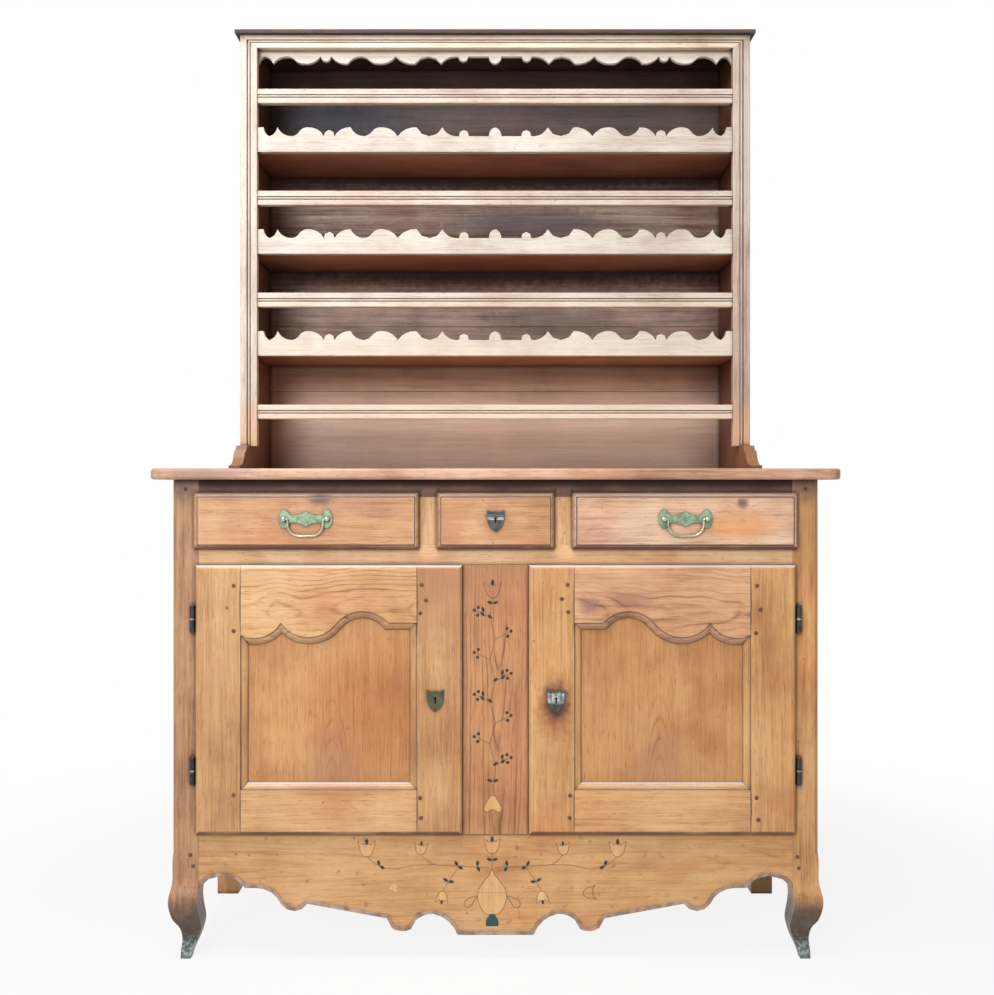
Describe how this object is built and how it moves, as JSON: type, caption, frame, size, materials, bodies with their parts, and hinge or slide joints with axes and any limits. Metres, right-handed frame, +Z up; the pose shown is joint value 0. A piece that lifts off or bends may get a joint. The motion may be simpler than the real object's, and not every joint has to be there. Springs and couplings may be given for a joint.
{
  "type": "buffet and hutch",
  "caption": "Country cherry buffet with drawers, shaped panel doors, scalloped apron and cabriole legs, under an open plate rack with scalloped gallery rails.",
  "frame": {"origin": "on the floor, under the middle of the buffet top", "axes": "+X to the right seen from the front, +Y to the back, +Z up"},
  "size_m": [1.42, 0.515, 2],
  "materials": {
    "cherry": "waxed, worn",
    "cherry_panel": "waxed, worn",
    "red_cherry": "waxed, worn",
    "pale_cherry": "dry, bleached",
    "rack_wood": "dry, smoke-stained",
    "inner_wood": "unfinished",
    "hinge_iron": "dark, worn",
    "lock_iron": "dark, worn",
    "verdigris_brass": "verdigris patina",
    "bail_brass": "worn bright",
    "old_brass": "dull olive patina",
    "old_steel": "worn, stained"
  },
  "bodies": {
    "carcass": {"back_rails": "inner_wood", "buffet_back_boards": "inner_wood", "buffet_top": "cherry", "centre_stile": "red_cherry", "cupboard_cleats": "inner_wood", "cupboard_floor": "inner_wood", "cupboard_shelf": "inner_wood", "drawer_dividers": "cherry", "drawer_runners": "inner_wood", "front_apron": "cherry", "front_post_left": "cherry", "front_post_right": "cherry", "gallery_rails": "pale_cherry", "hutch_back_boards": "rack_wood", "hutch_cap": "pale_cherry", "hutch_frieze": "pale_cherry", "hutch_side_left": "rack_wood", "hutch_side_right": "rack_wood", "hutch_stile_left": "pale_cherry", "hutch_stile_right": "pale_cherry", "hutch_valance": "pale_cherry", "lower_hinge_halves": "hinge_iron", "middle_front_rail": "cherry", "plate_bars": "pale_cherry", "plate_shelves": "rack_wood", "rear_posts": "cherry", "side_panels": "cherry_panel", "side_rails": "cherry", "upper_front_rail": "cherry"},
    "left_drawer": {"left_drawer_front": "cherry", "left_drawer_box": "inner_wood", "left_drawer_pull_plate": "verdigris_brass"},
    "centre_drawer": {"centre_drawer_front": "cherry", "centre_drawer_box": "inner_wood", "centre_drawer_escutcheon": "old_steel", "centre_drawer_lock": "lock_iron"},
    "right_drawer": {"right_drawer_front": "cherry", "right_drawer_box": "inner_wood", "right_drawer_pull_plate": "verdigris_brass"},
    "left_bail": {"left_drawer_bail": "bail_brass"},
    "right_bail": {"right_drawer_bail": "bail_brass"},
    "left_door": {"door_hinge_stile_left": "cherry", "door_lock_stile_left": "cherry", "door_top_rail_left": "cherry", "door_bottom_rail_left": "cherry", "door_panel_left": "cherry_panel", "door_lock_left": "lock_iron", "left_door_escutcheon": "old_brass", "left_door_hinge_halves": "hinge_iron"},
    "right_door": {"door_hinge_stile_right": "cherry", "door_lock_stile_right": "cherry", "door_top_rail_right": "cherry", "door_bottom_rail_right": "cherry", "door_panel_right": "cherry_panel", "door_lock_right": "lock_iron", "right_door_escutcheon": "old_steel", "right_door_hinge_halves": "hinge_iron"},
    "left_door_bolt": {"door_bolt_left": "lock_iron"},
    "right_door_bolt": {"door_bolt_right": "lock_iron"},
    "centre_drawer_bolt": {"centre_drawer_bolt": "lock_iron"}
  },
  "joints": [
    {"name": "left_drawer_slide", "type": "slide", "parent": "carcass", "child": "left_drawer", "axis": [0, -1, 0], "range_m": [0, 0.3]},
    {"name": "centre_drawer_slide", "type": "slide", "parent": "carcass", "child": "centre_drawer", "axis": [0, -1, 0], "range_m": [0, 0.3]},
    {"name": "right_drawer_slide", "type": "slide", "parent": "carcass", "child": "right_drawer", "axis": [0, -1, 0], "range_m": [0, 0.3]},
    {"name": "left_door_hinge", "type": "hinge", "parent": "carcass", "child": "left_door", "pos_m": [-0.6245, -0.2335, 0.54], "axis": [0, 0, -1], "range_deg": [0, 150]},
    {"name": "right_door_hinge", "type": "hinge", "parent": "carcass", "child": "right_door", "pos_m": [0.6245, -0.2335, 0.54], "axis": [0, 0, 1], "range_deg": [0, 150]},
    {"name": "left_bail_pivot", "type": "hinge", "parent": "left_drawer", "child": "left_bail", "pos_m": [-0.39, -0.2488, 0.913], "axis": [-1, 0, 0], "range_deg": [0, 100]},
    {"name": "right_bail_pivot", "type": "hinge", "parent": "right_drawer", "child": "right_bail", "pos_m": [0.39, -0.2488, 0.913], "axis": [-1, 0, 0], "range_deg": [0, 100]},
    {"name": "left_door_bolt_slide", "type": "slide", "parent": "left_door", "child": "left_door_bolt", "axis": [1, 0, 0], "range_m": [0, 0.009]},
    {"name": "right_door_bolt_slide", "type": "slide", "parent": "right_door", "child": "right_door_bolt", "axis": [-1, 0, 0], "range_m": [0, 0.009]},
    {"name": "centre_drawer_bolt_slide", "type": "slide", "parent": "centre_drawer", "child": "centre_drawer_bolt", "axis": [0, 0, 1], "range_m": [0, 0.009]}
  ]
}
